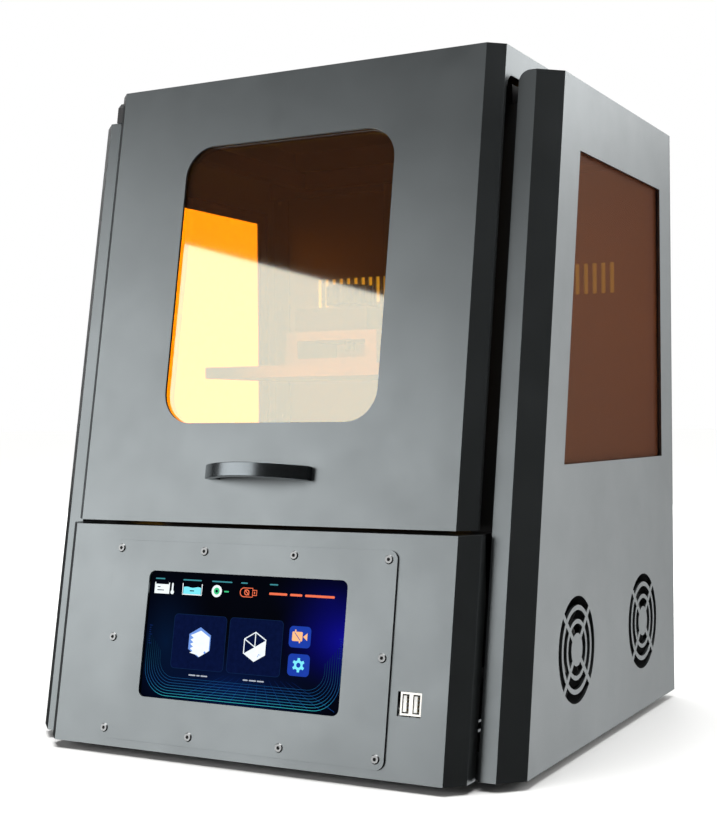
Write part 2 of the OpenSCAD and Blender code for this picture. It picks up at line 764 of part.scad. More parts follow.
module vat_screw(x) placed() translate([x, vat_y, 0])
    difference() {
        union() {
            translate([0, 0, deck_z - deck_t]) cylinder(h = 18, r = 2.5);
            translate([0, 0, mask_top + 6.3]) cylinder(h = 3, r = 6);
            translate([0, 0, mask_top + 9.2]) cylinder(h = 12, r = 9);
        }
        for (i = [0 : 9])
            rotate([0, 0, i * 36]) translate([9.6, 0, mask_top + 9]) cylinder(h = 14, r = 1.5);
    }
module left_vat_screw() color(black_paint) vat_screw(-vat_screw_x);
module right_vat_screw() color(black_paint) vat_screw(vat_screw_x);

base_tray();
feet();
left_side_casing();
right_side_casing();
rear_panel();
lower_front_panel();
screen_bezel();
bezel_screws();
touch_glass();
display_module();
usb_port();
deck_plate();
left_window();
right_window();
left_window_gasket();
right_window_gasket();
left_jamb();
right_jamb();
top_frame();
casing_screws();
hood_sensor();
hinge_fixed_leaves();
hinge_pins();
z_column();
linear_rails();
screw_top_bearing();
screw_bottom_bearing();
z_motor();
motor_bracket();
mask_screen();
lamp_housing();
lamp_board();
lamp_lenses();
lamp_heatsink();
front_fan_frame();
rear_fan_frame();
power_supply();
mainboard();
power_inlet();
power_rocker();
hood_shell();
hood_window();
hood_gasket();
hood_handle();
hood_magnet();
hinge_moving_leaves();
z_carriage();
carriage_blocks();
screw_nut();
platform_arm();
build_platform();
lead_screw();
screw_coupler();
platform_knob();
resin_vat();
vat_film();
left_vat_screw();
right_vat_screw();
front_fan_rotor();
rear_fan_rotor();
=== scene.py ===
import bpy
import bmesh
import json
import math
from mathutils import Matrix, Vector


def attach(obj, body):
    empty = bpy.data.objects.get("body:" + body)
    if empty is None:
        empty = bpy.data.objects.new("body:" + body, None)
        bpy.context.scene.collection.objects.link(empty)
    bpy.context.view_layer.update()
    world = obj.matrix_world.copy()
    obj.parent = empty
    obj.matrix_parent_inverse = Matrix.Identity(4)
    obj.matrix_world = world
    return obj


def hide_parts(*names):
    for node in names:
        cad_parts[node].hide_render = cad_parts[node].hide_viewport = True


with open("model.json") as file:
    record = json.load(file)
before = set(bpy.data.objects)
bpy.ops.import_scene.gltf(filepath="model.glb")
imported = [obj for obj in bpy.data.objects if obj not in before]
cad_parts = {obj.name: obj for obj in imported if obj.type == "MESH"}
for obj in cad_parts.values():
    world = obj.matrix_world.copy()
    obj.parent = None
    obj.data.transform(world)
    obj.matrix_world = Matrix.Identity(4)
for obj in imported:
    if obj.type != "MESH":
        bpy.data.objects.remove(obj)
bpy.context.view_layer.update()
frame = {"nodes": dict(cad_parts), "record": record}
NODES = frame["nodes"]
MM = 0.001

# ---------------------------------------------------------------- sizes shared with the frame (mm)
LEAN = math.radians(10)
STRETCH = 1 / math.cos(LEAN)
FOOT_H = 6
FLANGE_Y = -170.36
PANEL_PROUD = 23.6
BEZEL_T = 1.5
PLATE_N = -PANEL_PROUD - BEZEL_T * STRETCH
HANDLE_Z = 197
SCREEN_MIDDLE_U = -2.75
SCREEN_MIDDLE_V = 37.2 * STRETCH + 45.15
SCREEN_DEPTH = 5
USB_AT = (130.5, 41.6 * STRETCH + 7.9)


def place(x, y, z):
    """A point given in mm from the front flange plane and the casing bottom, in metres."""
    return Vector((x * MM, (y + FLANGE_Y) * MM, (z + FOOT_H) * MM))


def slope_matrix(x, n, s):
    """Axes of the leaning front: X across, Y square into the machine, Z up the slope. n and s in mm."""
    base = place(x, n, 0)
    turn = Matrix.Rotation(-LEAN, 4, "X")
    return Matrix.Translation(base) @ turn @ Matrix.Translation((0, 0, s * MM))


# ---------------------------------------------------------------- materials
PAINT_METAL = 0.95
SHEEN_BLEND = 0.25


class Shader:
    """A Principled material whose nodes are added by short calls."""

    def __init__(self, name, color, rough=0.5, metal=0.0, **sockets):
        self.mat = bpy.data.materials.new(name)
        self.mat.use_nodes = True
        self.tree = self.mat.node_tree
        self.bsdf = self.tree.nodes["Principled BSDF"]
        self.coords = None
        self.set("Base Color", (*color, 1.0))
        self.set("Roughness", rough)
        self.set("Metallic", metal)
        for key, value in sockets.items():
            self.set(key.replace("_", " "), value)

    def set(self, socket, value):
        self.bsdf.inputs[socket].default_value = value

    def node(self, kind, **inputs):
        n = self.tree.nodes.new(kind)
        for key, value in inputs.items():
            n.inputs[key.replace("_", " ")].default_value = value
        return n

    def link(self, a, b):
        self.tree.links.new(a, b)

    def place_nodes(self, scale=(1, 1, 1)):
        """Object coordinates, scaled."""
        if self.coords is None:
            self.coords = self.node("ShaderNodeTexCoord")
        mapping = self.node("ShaderNodeMapping")
        mapping.inputs["Scale"].default_value = scale
        self.link(self.coords.outputs["Object"], mapping.inputs["Vector"])
        return mapping.outputs["Vector"]

    def noise(self, scale, detail=4.0, stretch=(1, 1, 1), rough=0.55):
        n = self.node("ShaderNodeTexNoise", Scale=scale, Detail=detail, Roughness=rough)
        self.link(self.place_nodes(stretch), n.inputs["Vector"])
        return n.outputs["Fac"]

    def ramp(self, fac, stops):
        r = self.node("ShaderNodeValToRGB")
        elements = r.color_ramp.elements
        while len(elements) < len(stops):
            elements.new(0.5)
        for element, (pos, color) in zip(elements, stops):
            element.position = pos
            element.color = (*color, 1.0) if len(color) == 3 else color
        self.link(fac, r.inputs["Fac"])
        return r.outputs["Color"]

    def span(self, fac, low, high):
        """fac from 0..1 to low..high."""
        m = self.node("ShaderNodeMapRange")
        m.inputs["To Min"].default_value = low
        m.inputs["To Max"].default_value = high
        self.link(fac, m.inputs["Value"])
        return m.outputs["Result"]

    def drive(self, socket, output):
        self.link(output, self.bsdf.inputs[socket])
        return self

    def bump(self, height, strength, distance):
        b = self.node("ShaderNodeBump", Strength=strength, Distance=distance)
        self.link(height, b.inputs["Height"])
        self.link(b.outputs["Normal"], self.bsdf.inputs["Normal"])
        return self


def tint(color, k):
    return tuple(min(1.0, c * k) for c in color)


def powder_coat(name, color, rough=0.36, grain=2600):
    """Fine textured paint on sheet metal: soft mottling, orange-peel bump."""
    s = Shader(name, color, rough, PAINT_METAL)
    cloud = s.noise(9, 3)
    s.drive("Base Color", s.ramp(cloud, [(0.3, tint(color, 0.93)), (0.7, tint(color, 1.07))]))
    s.drive("Roughness", s.span(s.noise(26, 4), rough - 0.05, rough + 0.06))
    s.bump(s.noise(grain, 2), 0.10, 0.0002)
    return s.mat


def plain_paint(name, color, rough=0.6):
    s = Shader(name, color, rough)
    s.drive("Base Color", s.ramp(s.noise(30, 4), [(0.3, tint(color, 0.8)), (0.75, tint(color, 1.25))]))
    s.bump(s.noise(1500, 2), 0.12, 0.0002)
    return s.mat


def moulded(name, color, rough=0.45, grain=1400):
    s = Shader(name, color, rough)
    s.drive("Base Color", s.ramp(s.noise(22, 3), [(0.3, tint(color, 0.85)), (0.7, tint(color, 1.15))]))
    s.drive("Roughness", s.span(s.noise(60, 3), rough - 0.06, rough + 0.08))
    s.bump(s.noise(grain, 3), 0.18, 0.00015)
    return s.mat


def brushed(name, color, rough=0.32, along=(1, 1, 60), scale=30):
    """Metal with a fine grain drawn along one axis."""
    s = Shader(name, color, rough, 1.0)
    lines = s.noise(scale, 6, along, 0.7)
    s.drive("Base Color", s.ramp(lines, [(0.25, tint(color, 0.82)), (0.75, tint(color, 1.1))]))
    s.drive("Roughness", s.span(lines, rough - 0.08, rough + 0.1))
    s.bump(lines, 0.08, 0.0001)
    return s.mat


def blasted(name, color, rough=0.42):
    s = Shader(name, color, rough, 1.0)
    s.drive("Base Color", s.ramp(s.noise(14, 4), [(0.3, tint(color, 0.9)), (0.7, tint(color, 1.06))]))
    s.bump(s.noise(2200, 2), 0.12, 0.0001)
    return s.mat


def tinted_sheet(name, tint_color, gloss=0.06, haze=0.12, mirror=0.06, mirror_color=(1, 1, 1),
                 scatter=(0.12, 0.05, 0.01)):
    """Clear coloured sheet: a see-through tint, haze that scatters light and a reflection that grows
    at grazing angles. Every value counts once per face, so a sheet applies it twice."""
    mat = bpy.data.materials.new(name)
    mat.use_nodes = True
    tree = mat.node_tree
    tree.nodes.clear()
    out = tree.nodes.new("ShaderNodeOutputMaterial")
    clear = tree.nodes.new("ShaderNodeBsdfTransparent")
    coords = tree.nodes.new("ShaderNodeTexCoord")
    cloud = tree.nodes.new("ShaderNodeTexNoise")
    cloud.inputs["Scale"].default_value = 6
    ramp = tree.nodes.new("ShaderNodeValToRGB")
    ramp.color_ramp.elements[0].color = (*tint(tint_color, 0.98), 1)
    ramp.color_ramp.elements[1].color = (*tint(tint_color, 1.02), 1)
    tree.links.new(coords.outputs["Object"], cloud.inputs["Vector"])
    tree.links.new(cloud.outputs["Fac"], ramp.inputs["Fac"])
    tree.links.new(ramp.outputs["Color"], clear.inputs["Color"])
    body = tree.nodes.new("ShaderNodeBsdfPrincipled")
    body.inputs["Base Color"].default_value = (*scatter, 1)
    body.inputs["Roughness"].default_value = max(gloss, 0.3)
    body.inputs["Specular IOR Level"].default_value = 0.0
    inner = tree.nodes.new("ShaderNodeMixShader")
    inner.inputs["Fac"].default_value = haze
    coat = tree.nodes.new("ShaderNodeBsdfGlossy")
    coat.inputs["Roughness"].default_value = gloss
    coat.inputs["Color"].default_value = (*mirror_color, 1)
    rim = tree.nodes.new("ShaderNodeLayerWeight")
    rim.inputs["Blend"].default_value = SHEEN_BLEND
    grow = tree.nodes.new("ShaderNodeMapRange")
    grow.inputs["To Min"].default_value = mirror
    grow.inputs["To Max"].default_value = min(1.0, mirror * 1.8 + 0.02)
    mix = tree.nodes.new("ShaderNodeMixShader")
    tree.links.new(rim.outputs["Fresnel"], grow.inputs["Value"])
    tree.links.new(clear.outputs["BSDF"], inner.inputs[1])
    tree.links.new(body.outputs["BSDF"], inner.inputs[2])
    tree.links.new(grow.outputs["Result"], mix.inputs["Fac"])
    tree.links.new(inner.outputs["Shader"], mix.inputs[1])
    tree.links.new(coat.outputs["BSDF"], mix.inputs[2])
    tree.links.new(mix.outputs["Shader"], out.inputs["Surface"])
    return mat


GRAPHITE = (0.155, 0.169, 0.173)
MATS = {
    "graphite_paint": powder_coat("graphite_paint", GRAPHITE),
    "hood_paint": powder_coat("hood_paint", GRAPHITE),
    "black_paint": plain_paint("black_paint", (0.006, 0.006, 0.006)),
    "foot_rubber": moulded("foot_rubber", (0.02, 0.02, 0.02), 0.8),
    "screw_steel": blasted("screw_steel", (0.25, 0.255, 0.255), 0.4),
    "metal_can": brushed("metal_can", (0.35, 0.36, 0.36), 0.4),
    "port_steel": brushed("port_steel", (0.46, 0.45, 0.42), 0.25, (1, 60, 1), 60),
    "black_anodised": blasted("black_anodised", (0.035, 0.035, 0.038)),
    "gasket_foam": moulded("gasket_foam", (0.008, 0.008, 0.008), 0.9),
    "black_plastic": moulded("black_plastic", (0.018, 0.018, 0.019)),
    "hinge_steel": brushed("hinge_steel", (0.4, 0.4, 0.4), 0.35, (60, 1, 1)),
    # bare aluminium is set much darker than the metal is, so the parts inside the hood come out dark: painted
    # shade
    "bare_aluminium": blasted("bare_aluminium", (0.3, 0.305, 0.31)),
    "rail_steel": brushed("rail_steel", (0.5, 0.51, 0.52), 0.2, (1, 1, 0.02), 60),
    "motor_body": plain_paint("motor_body", (0.03, 0.03, 0.032), 0.4),
    "circuit_board": moulded("circuit_board", (0.02, 0.14, 0.07), 0.35),
    "rocker_red": moulded("rocker_red", (0.45, 0.02, 0.015), 0.25),
    "nut_brass": brushed("nut_brass", (0.72, 0.52, 0.22), 0.3, (1, 1, 1), 200),
    "vat_anodised": blasted("vat_anodised", (0.09, 0.095, 0.105)),
    "lamp_board": moulded("lamp_board", (0.75, 0.75, 0.7), 0.5),
    "amber_acrylic": tinted_sheet("amber_acrylic", (0.985, 0.665, 0.15), 0.03, 0.06, 0.165,
                                  (0.74, 0.89, 0.93), (0.32, 0.14, 0.07)),
    "lens_clear": tinted_sheet("lens_clear", (0.92, 0.94, 0.97)),
    "film_clear": tinted_sheet("film_clear", (0.9, 0.92, 0.95), 0.1, 0.25),
}
# the side windows get their own copy of the same amber acrylic with darker, redder scatter and more haze: the
# difference is painted shade
SHADED_SIDE_AMBER = tinted_sheet("amber_acrylic_side_shaded", (0.985, 0.69, 0.13), 0.25, 0.6, 0.014, (1.0, 0.85, 0.75),
                          (0.098, 0.033, 0.017))
SIDE_WINDOWS = ("left_window", "right_window")


def gloss_black(name, color, rough, metal=0.0):
    s = Shader(name, color, rough, metal)
    s.drive("Roughness", s.span(s.noise(80, 3), rough * 0.8, rough * 1.3))
    return s.mat


MATS["screen_glass"] = gloss_black("screen_glass", (0.002, 0.003, 0.006), 0.3)
glass_sockets = MATS["screen_glass"].node_tree.nodes["Principled BSDF"].inputs
glass_sockets["Specular IOR Level"].default_value = 0.1
MATS["mask_glass"] = gloss_black("mask_glass", (0.010, 0.010, 0.014), 0.12)
MATS["handle_black"] = gloss_black("handle_black", (0.135, 0.15, 0.158), 0.24, 0.96)

slot_of = {row["node"]: row["material_slot"] for row in frame["record"]["subparts"]}
for name, node in NODES.items():
    node.data.materials.clear()
    node.data.materials.append(SHADED_SIDE_AMBER if name in SIDE_WINDOWS else MATS[slot_of[name]])

# ---------------------------------------------------------------- camera
CAM_AT = place(535.1, -841.9, 234.2)
CAM_RIGHT = Vector((0.8826, 0.47, -0.0079))
CAM_BACK = Vector((0.47, -0.8827, -0.0035))
FOCAL_PX = 1413.6
FRAME_W = 717

cam_data = bpy.data.cameras.new("camera")
cam = bpy.data.objects.new("camera", cam_data)
bpy.context.collection.objects.link(cam)
right = CAM_RIGHT.normalized()
back = (CAM_BACK - right * CAM_BACK.dot(right)).normalized()
up = back.cross(right)
cam.matrix_world = Matrix.Translation(CAM_AT) @ Matrix((right, up, back)).transposed().to_4x4()
cam_data.sensor_fit = "HORIZONTAL"
cam_data.sensor_width = 36.0
cam_data.lens = 36.0 * FOCAL_PX / FRAME_W
cam_data.clip_start = 0.01
bpy.context.scene.camera = cam


# ---------------------------------------------------------------- pieces
def piece(name, verts, faces, body, slot, mat=None, smooth=False, matrix=None):
    """A closed mesh piece that rides on a body. verts in metres, in the frame of matrix."""
    mesh = bpy.data.meshes.new(name)
    mesh.from_pydata(verts, [], faces)
    mesh.validate()
    bm = bmesh.new()
    bm.from_mesh(mesh)
    bmesh.ops.recalc_face_normals(bm, faces=bm.faces)
    bm.to_mesh(mesh)
    bm.free()
    ob = bpy.data.objects.new(name, mesh)
    bpy.context.collection.objects.link(ob)
    if matrix is not None:
        ob.matrix_world = matrix
    mesh.materials.append(mat or MATS[slot])
    for poly in mesh.polygons:
        poly.use_smooth = smooth
    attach(ob, body)
    return ob


class Plates:
    """Thin flat prisms drawn on a plane in mm (u across, v up), gathered into one piece."""

    def __init__(self, front, thick=0.03):
        self.front, self.thick = front, thick
        self.verts, self.faces = [], []

    def polygon(self, points):
        n, base = len(points), len(self.verts)
        for depth in (self.front, self.front + self.thick):
            self.verts += [(u * MM, depth * MM, v * MM) for u, v in points]
        self.faces.append(list(range(base, base + n)))
        self.faces.append(list(range(base + n, base + 2 * n)))
        for i in range(n):
            j = (i + 1) % n
            self.faces.append([base + i, base + j, base + n + j, base + n + i])
        return self

    def bar(self, u0, u1, v0, v1, r=0.0):
        return self.polygon(rounded_points(u0, u1, v0, v1, r))

    def disc(self, u, v, r, steps=24):
        return self.polygon(arc(u, v, r, 0, 360, steps)[:-1])

    def line(self, points, width, closed=False):
        """A mitred ribbon along points, one thin prism per stretch."""
        count = len(points)
        left, right = [], []
        for i, (u, v) in enumerate(points):
            a = points[i - 1] if i or closed else points[i]
            b = points[(i + 1) % count] if i < count - 1 or closed else points[i]
            du, dv = b[0] - a[0], b[1] - a[1]
            size = math.hypot(du, dv) or 1.0
            left.append((u - dv / size * width / 2, v + du / size * width / 2))
            right.append((u + dv / size * width / 2, v - du / size * width / 2))
        for i in range(count if closed else count - 1):
            j = (i + 1) % count
            self.polygon([left[i], left[j], right[j], right[i]])
        return self

    def make(self, name, body, slot, mat, matrix):
        return piece(name, self.verts, self.faces, body, slot, mat, False, matrix)


def rounded_points(u0, u1, v0, v1, r, steps=6):
    """Outline of a rectangle, with corners of radius r where r isn't 0."""
    if r <= 0:
        return [(u0, v0), (u1, v0), (u1, v1), (u0, v1)]
    right, left, low, high = u1 - r, u0 + r, v0 + r, v1 - r
    points = []
    for cu, cv, start in ((right, low, -90), (right, high, 0), (left, high, 90), (left, low, 180)):
        points += arc(cu, cv, r, start, start + 90, steps)
    return points


def arc(cu, cv, r, a0, a1, steps=10):
    """Points of an arc from a0 to a1 degrees, both ends included."""
    return [(cu + r * math.cos(math.radians(a0 + (a1 - a0) * i / steps)),
             cv + r * math.sin(math.radians(a0 + (a1 - a0) * i / steps))) for i in range(steps + 1)]


def body_of(node):
    """The body that a CAD node belongs to."""
    for body, members in frame["record"]["behaviour"]["bodies"].items():
        if node in members:
            return body


def softened(node, width):
    """A copy of a CAD node with its sharp edges rounded (width in mm), shown in its place."""
    ob = bpy.data.objects.new(f"{node}_folded", NODES[node].data.copy())
    bpy.context.collection.objects.link(ob)
    for name in ("custom_normal", "sharp_face", "sharp_edge"):
        if name in ob.data.attributes:
            ob.data.attributes.remove(ob.data.attributes[name])
    bm = bmesh.new()
    bm.from_mesh(ob.data)
    bmesh.ops.remove_doubles(bm, verts=bm.verts, dist=WELD)
    bmesh.ops.dissolve_limit(bm, angle_limit=FLAT_ANGLE, verts=bm.verts, edges=bm.edges)
    bm.to_mesh(ob.data)
    bm.free()
    mod = ob.modifiers.new("edges", "BEVEL")
    mod.width = width * MM
    mod.segments = 2
    mod.limit_method = "ANGLE"
    mod.angle_limit = SHARP_ANGLE
    for poly in ob.data.polygons:
        poly.use_smooth = False
    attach(ob, body_of(node))
    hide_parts(node)
    return ob


# ---------------------------------------------------------------- folded sheet edges
WELD = 2e-6
FLAT_ANGLE = math.radians(1)
SHARP_ANGLE = math.radians(30)
for node, width in (("hood_shell", 0.7), ("lower_front_panel", 0.7), ("left_side_casing", 0.6),
                    ("right_side_casing", 0.6), ("screen_bezel", 0.3), ("rear_panel", 0.5)):
    softened(node, width)


def extrude(outline, heights):
    """Closed prism from an outline in mm (X, Y), between two heights of its frame."""
    n = len(outline)
    verts = [(x * MM, y * MM, z * MM) for z in heights for x, y in outline]
    faces = [tuple(range(n)), tuple(range(n, 2 * n))]
    faces += [(i, (i + 1) % n, n + (i + 1) % n, n + i) for i in range(n)]
    return verts, faces


def rounded_edges(ob, width, segments=2, angle=30):
    """Rounds the sharp edges of a piece by width mm."""
    mod = ob.modifiers.new("edges", "BEVEL")
    mod.width = width * MM
    mod.segments = segments
    mod.angle_limit = math.radians(angle)
    mod.harden_normals = True
    return ob


# the handle: an outer and an inner arc with straight ends that sink into the hood
BOW_HALF, BOW_OUTER_R, BOW_OUTER_Y = 43, 58.5, 34
BOW_INNER_HALF, BOW_INNER_R, BOW_INNER_Y = 34.9, 57, 39
BOW_FOOT, BOW_FOOT_INNER, BOW_SHOULDER = -0.1, 33, -6
bow = [(x, BOW_OUTER_Y - math.sqrt(BOW_OUTER_R ** 2 - x * x))
       for x in (-BOW_HALF + 2 * BOW_HALF * i / 64 for i in range(65))]
bow += [(BOW_HALF, BOW_FOOT), (BOW_FOOT_INNER, BOW_FOOT), (BOW_FOOT_INNER, BOW_SHOULDER)]
bow += [(x, BOW_INNER_Y - math.sqrt(BOW_INNER_R ** 2 - x * x))
        for x in (BOW_INNER_HALF - 2 * BOW_INNER_HALF * i / 56 for i in range(57))]
bow += [(-BOW_FOOT_INNER, BOW_SHOULDER), (-BOW_FOOT_INNER, BOW_FOOT), (-BOW_HALF, BOW_FOOT)]
handle = piece("hood_handle_bow", *extrude(bow, (-5, 5)), "hood", "handle_black", None, True,
               slope_matrix(0, -21.7, HANDLE_Z * STRETCH))
rounded_edges(handle, 1.1, 3, 25)
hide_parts("hood_handle")

# ---------------------------------------------------------------- touch screen picture
# coordinates are mm from the middle of the display; a lower first number of Plates lies further out
SCREEN = slope_matrix(SCREEN_MIDDLE_U, PLATE_N + SCREEN_DEPTH, SCREEN_MIDDLE_V)


def glow(name, color, strength=1.0, vary=0.08):
    """Lit ink of the display."""
    s = Shader(name, tint(color, 0.1), 0.5)
    s.set("Specular IOR Level", 0.0)
    shade = s.ramp(s.noise(300, 2), [(0.2, tint(color, 1 - vary)), (0.8, tint(color, 1 + vary))])
    s.drive("Emission Color", shade)
    s.set("Emission Strength", strength)
    return s.mat


def night_glow():
    """Display backdrop: near black, a blue glow on the right and a fainter one low in the middle."""
    s = Shader("ui_backdrop", (0.0005, 0.0006, 0.001), 0.5)
    s.set("Specular IOR Level", 0.0)
    tex = s.node("ShaderNodeTexCoord")

    def blob(u, v, ru, rv):
        m = s.node("ShaderNodeMapping")
        m.vector_type = "TEXTURE"
        m.inputs["Location"].default_value = (u * MM, 0, v * MM)
        m.inputs["Scale"].default_value = (ru * MM, 1, rv * MM)
        g = s.node("ShaderNodeTexGradient")
        g.gradient_type = "QUADRATIC_SPHERE"
        s.link(tex.outputs["Object"], m.inputs["Vector"])
        s.link(m.outputs["Vector"], g.inputs["Vector"])
        return g.outputs["Fac"]

    total = s.ramp(s.noise(20, 2), [(0.3, (0.0006, 0.0008, 0.002)), (0.7, (0.001, 0.0015, 0.004))])
    for u, v, ru, rv, color in ((84, 4, 62, 40, (0.004, 0.003, 0.30)),
                                (-6, -34, 100, 36, (0.001, 0.008, 0.055)),
                                (-66, -6, 46, 60, (0.0005, 0.007, 0.03)),
                                (66, 30, 50, 30, (0.001, 0.001, 0.05))):
        part = s.ramp(blob(u, v, ru, rv), [(0.0, (0, 0, 0)), (1.0, color)])
        add = s.node("ShaderNodeMix")
        add.data_type = "RGBA"
        add.blend_type = "ADD"
        add.inputs["Factor"].default_value = 1.0
        s.link(total, add.inputs["A"])
        s.link(part, add.inputs["B"])
        total = add.outputs["Result"]
    s.drive("Emission Color", total)
    s.set("Emission Strength", 1.0)
    return s.mat


def on_screen(name, plates, mat):
    return plates.make(name, "cabinet", "screen_glass", mat, SCREEN)


on_screen("ui_backdrop", Plates(-0.05).bar(-83.6, 83.6, -46.6, 46.6, 3), night_glow())

WHITE_INK = glow("ui_white", (0.86, 0.93, 0.98))
PALE_INK = glow("ui_pale", (0.42, 0.46, 0.52))
PALE_BLUE = glow("ui_pale_blue", (0.16, 0.30, 0.72))
CYAN_INK = glow("ui_cyan", (0.20, 0.80, 0.92))
TEAL_INK = glow("ui_teal", (0.05, 0.26, 0.30))
GREEN_INK = glow("ui_green", (0.05, 0.55, 0.22))
ORANGE_INK = glow("ui_orange", (0.86, 0.17, 0.08))
PEACH_INK = glow("ui_peach", (0.95, 0.50, 0.24))
BLUE_KEY = glow("ui_key_blue", (0.012, 0.045, 0.36))
CARD_INK = glow("ui_card", (0.0025, 0.006, 0.036), 1.0, 0.25)
CARD_EDGE = glow("ui_card_edge", (0.006, 0.022, 0.075))
DARK_INK = glow("ui_dark", (0.004, 0.008, 0.02))
DIM_BLUE = glow("ui_dim_blue", (0.01, 0.035, 0.20))

# status icons along the top
icons = Plates(-0.10)
icons.polygon([(-80, 28.2), (-66.9, 28.2), (-66.9, 36.3), (-67.7, 36.3), (-67.7, 35.0), (-79.2, 35.0),
               (-79.2, 36.3), (-80, 36.3)])
icons.bar(-65.0, -63.6, 29.6, 36.2, 0.6).disc(-64.3, 29.6, 1.5)
icons.line([(-55.3, 36.4), (-55.3, 28.6), (-38.7, 28.6), (-38.7, 36.4)], 0.7)
on_screen("ui_white_icons", icons, WHITE_INK)
tank = [(-54.6, 29.0), (-39.4, 29.0), (-39.4, 33.6)]
tank += [(-39.4 - 15.2 * i / 12, 33.8 + 0.35 * math.sin(i * 0.8)) for i in range(1, 13)]
on_screen("ui_tank_fill", Plates(-0.10).polygon(tank), CYAN_INK)
on_screen("ui_level_ring", Plates(-0.10).disc(-25.9, 32.2, 4.3, 32), WHITE_INK)
on_screen("ui_level_mid", Plates(-0.14).disc(-25.9, 32.2, 2.5, 28).bar(-19.6, -15.6, 31.7, 32.7, 0.4),
          GREEN_INK)
on_screen("ui_level_dot", Plates(-0.18).disc(-25.9, 32.2, 1.1, 20).bar(-77.6, -71.5, 30.4, 31.0, 0.25)
          .bar(-77.6, -75.0, 32.7, 33.3, 0.25).bar(-49.0, -45.2, 30.9, 31.7, 0.35), DARK_INK)
labels = Plates(-0.10)
for u0, u1 in ((-79.8, -71.5), (-55.4, -39.5), (-30.4, -13.4), (-5.9, -0.5), (17.9, 24.6)):
    labels.bar(u0, u1, 38.5, 39.4, 0.4)
on_screen("ui_labels", labels, TEAL_INK)
captions = Plates(-0.10)
for u0, u1 in ((-43.5, -37.6), (-36.8, -34.0), (-33.2, -27.6), (2.2, 6.2), (7.2, 13.0), (13.8, 19.4)):
    captions.bar(u0, u1, -28.5, -27.6, 0.4)
on_screen("ui_captions", captions, PALE_INK)
plug = Plates(-0.10)
capsule = arc(-3.0, 32.5, 3.1, 90, 270) + [(4.2, 29.4), (4.2, 35.6)]
plug.line(capsule, 0.6, True)
plug.line(arc(-0.6, 32.5, 1.8, 0, 330, 14), 0.7, True).line([(-2.4, 34.4), (1.4, 30.6)], 0.6)
plug.line([(4.3, 34.3), (7.6, 34.3), (7.6, 30.7), (4.3, 30.7)], 0.6).bar(5.4, 6.2, 31.7, 33.3)
plug.bar(17.9, 32.6, 31.8, 33.4, 0.7).bar(34.9, 44.6, 31.8, 33.4, 0.7).bar(46.9, 70.2, 31.8, 33.4, 0.7)
on_screen("ui_orange_icons", plug, ORANGE_INK)

# two large cards with a stack icon and a cube icon
cards = Plates(-0.10)
edges = Plates(-0.14)
for u0, u1 in ((-59.8, -15.0), (-12.2, 31.6)):
    cards.bar(u0, u1, -24.0, 14.4, 3)
    edges.line(rounded_points(u0, u1, -24.0, 14.4, 3), 0.25, True)
on_screen("ui_cards", cards, CARD_INK)
on_screen("ui_card_edges", edges, CARD_EDGE)


def hexagon(u, v, r):
    """Corners of a hexagon that stands on a corner, from the top one clockwise."""
    return arc(u, v, r, 90, -270, 6)[:-1]


on_screen("ui_stack_back", Plates(-0.16).polygon(hexagon(-36.6, -4.6, 10.6)), PALE_BLUE)
stack = [(-36.0, 3.6), (-28.2, -0.8), (-28.2, -10.4), (-36.0, -14.9), (-38.4, -13.6)]
for i in range(4):
    v = -12.4 + 3.1 * i
    stack += [(-44.4, v), (-41.8, v + 1.2)]
stack += [(-44.4, 0.0), (-41.4, 1.2)]
on_screen("ui_stack_front", Plates(-0.20).polygon(stack), WHITE_INK)
cube = hexagon(9.8, -4.9, 10.2)
wires = Plates(-0.20)
wires.polygon([cube[4], cube[3], cube[2], cube[1]])
wires.line([cube[4], cube[5], cube[0], cube[1]], 0.8)
wires.line([(9.8, -4.9), cube[0]], 0.7).line([(9.8, -4.9), cube[5]], 0.7)
on_screen("ui_cube", wires, WHITE_INK)
marks = Plates(-0.26).disc(-31.5, -11.6, 0.9, 12)
marks.line([(12.4, -11.8), (13.6, -9.6), (14.8, -10.4)], 0.4)
on_screen("ui_marks", marks, PALE_BLUE)

# two keys on the right
on_screen("ui_keys", Plates(-0.10).bar(36.8, 54.0, -3.0, 11.6, 3).bar(37.4, 54.6, -22.2, -7.2, 3), BLUE_KEY)
film = Plates(-0.14)
film.bar(39.2, 47.4, 1.4, 7.8, 0.8).polygon([(47.9, 4.6), (51.2, 2.0), (51.2, 7.2)]).bar(41.2, 42.2, 7.8, 9.2)
film.bar(44.8, 45.8, 0.2, 1.4)
on_screen("ui_camera", film, PEACH_INK)
on_screen("ui_camera_slash", Plates(-0.18).line([(41.0, 7.2), (45.6, 2.2)], 0.5), BLUE_KEY)
gear = []
for i in range(6):
    a = 60 * i
    for da, r in ((-17, 3.5), (-11, 4.9), (11, 4.9), (17, 3.5), (30, 3.3)):
        gear.append((45.9 + r * math.sin(math.radians(a + da)), -14.7 + r * math.cos(math.radians(a + da))))
on_screen("ui_gear", Plates(-0.14).polygon(gear), CYAN_INK)
on_screen("ui_gear_hole", Plates(-0.18).disc(45.9, -14.7, 1.7, 20), BLUE_KEY)

# ruler ticks, rounded contour lines and a floor grid
ticks = Plates(-0.08)
for i in range(9):
    ticks.bar(-81.2, -81.2 + (2.6 if i % 4 == 0 else 1.5), -8 + 1.6 * i, -7.75 + 1.6 * i)
    ticks.bar(78.6 - (2.6 if i % 4 == 0 else 1.5), 78.6, -8 + 1.6 * i, -7.75 + 1.6 * i)
on_screen("ui_ticks", ticks, DIM_BLUE)


